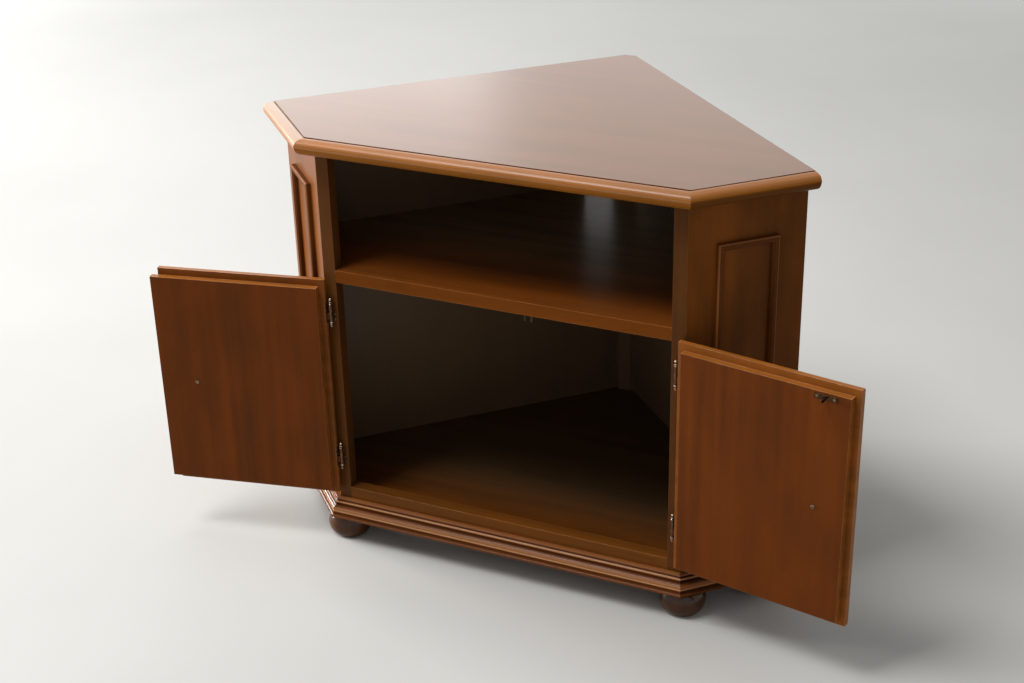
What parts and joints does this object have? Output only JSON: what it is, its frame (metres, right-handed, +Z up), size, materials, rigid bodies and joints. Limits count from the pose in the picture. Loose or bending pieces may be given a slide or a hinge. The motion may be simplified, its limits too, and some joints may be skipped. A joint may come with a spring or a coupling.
{
  "type": "corner tv cabinet",
  "caption": "Corner cabinet with a moulded top, open upper bay, hinged doors on a lower bay, canted sides, stepped plinth and bun feet.",
  "frame": {"origin": "on the floor, at the middle of the box round the cabinet with its doors standing open", "axes": "+X to the right seen from the front, +Y back into the room corner, +Z up; the front faces -Y"},
  "size_m": [1.133, 0.6276, 0.702],
  "materials": {
    "red_brown_wood": "gloss lacquer over red-brown veneer",
    "inner_wood": "dark stained and lacquered",
    "dark_wood": "very dark gloss lacquer",
    "antique_brass": "antique brass",
    "zinc_steel": "plated",
    "nylon": "plain"
  },
  "bodies": {
    "case": {"apex_post": "inner_wood", "back_panel_left": "inner_wood", "back_panel_right": "inner_wood", "base_apex_block": "inner_wood", "base_back_rail_left": "inner_wood", "base_back_rail_right": "inner_wood", "base_front_rail": "inner_wood", "base_side_rail_left": "inner_wood", "base_side_rail_right": "inner_wood", "bottom_rail": "red_brown_wood", "catch_plate": "zinc_steel", "feet": "dark_wood", "floor_board": "inner_wood", "hinge_case_leaves_left": "antique_brass", "hinge_case_leaves_right": "antique_brass", "hinge_pins_left": "antique_brass", "hinge_pins_right": "antique_brass", "plinth_front": "red_brown_wood", "plinth_left": "red_brown_wood", "plinth_right": "red_brown_wood", "shelf": "red_brown_wood", "side_moulding_left": "red_brown_wood", "side_moulding_right": "red_brown_wood", "side_panel_left": "red_brown_wood", "side_panel_right": "red_brown_wood", "stile_left": "red_brown_wood", "stile_right": "red_brown_wood", "top_edge_front": "red_brown_wood", "top_edge_left": "red_brown_wood", "top_edge_right": "red_brown_wood", "top_panel": "red_brown_wood"},
    "door_left": {"door_left_knob": "antique_brass", "door_left_moulding": "red_brown_wood", "door_left_panel": "red_brown_wood", "hinge_door_leaves_left": "antique_brass"},
    "door_right": {"door_right_knob": "antique_brass", "door_right_moulding": "red_brown_wood", "door_right_panel": "red_brown_wood", "hinge_door_leaves_right": "antique_brass", "strike_plate": "zinc_steel"},
    "catch_arm_left": {"catch_arm_left": "nylon"},
    "catch_arm_right": {"catch_arm_right": "nylon"}
  },
  "joints": [
    {"name": "door_left_hinge", "type": "hinge", "parent": "case", "child": "door_left", "pos_m": [-0.2837, -0.23927, 0.3], "axis": [0, 0, -1], "range_deg": [-168.35, 11.65]},
    {"name": "door_right_hinge", "type": "hinge", "parent": "case", "child": "door_right", "pos_m": [0.2837, -0.23927, 0.3], "axis": [0, 0, 1], "range_deg": [-170, 10]},
    {"name": "catch_arm_left_pivot", "type": "hinge", "parent": "case", "child": "catch_arm_left", "pos_m": [0.0397, -0.20187, 0.4607], "axis": [0, 0, -1], "range_deg": [0, 9], "stiffness_Nm_per_rad": 0.05},
    {"name": "catch_arm_right_pivot", "type": "hinge", "parent": "case", "child": "catch_arm_right", "pos_m": [0.0503, -0.20187, 0.4607], "axis": [0, 0, 1], "range_deg": [0, 9], "stiffness_Nm_per_rad": 0.05}
  ]
}
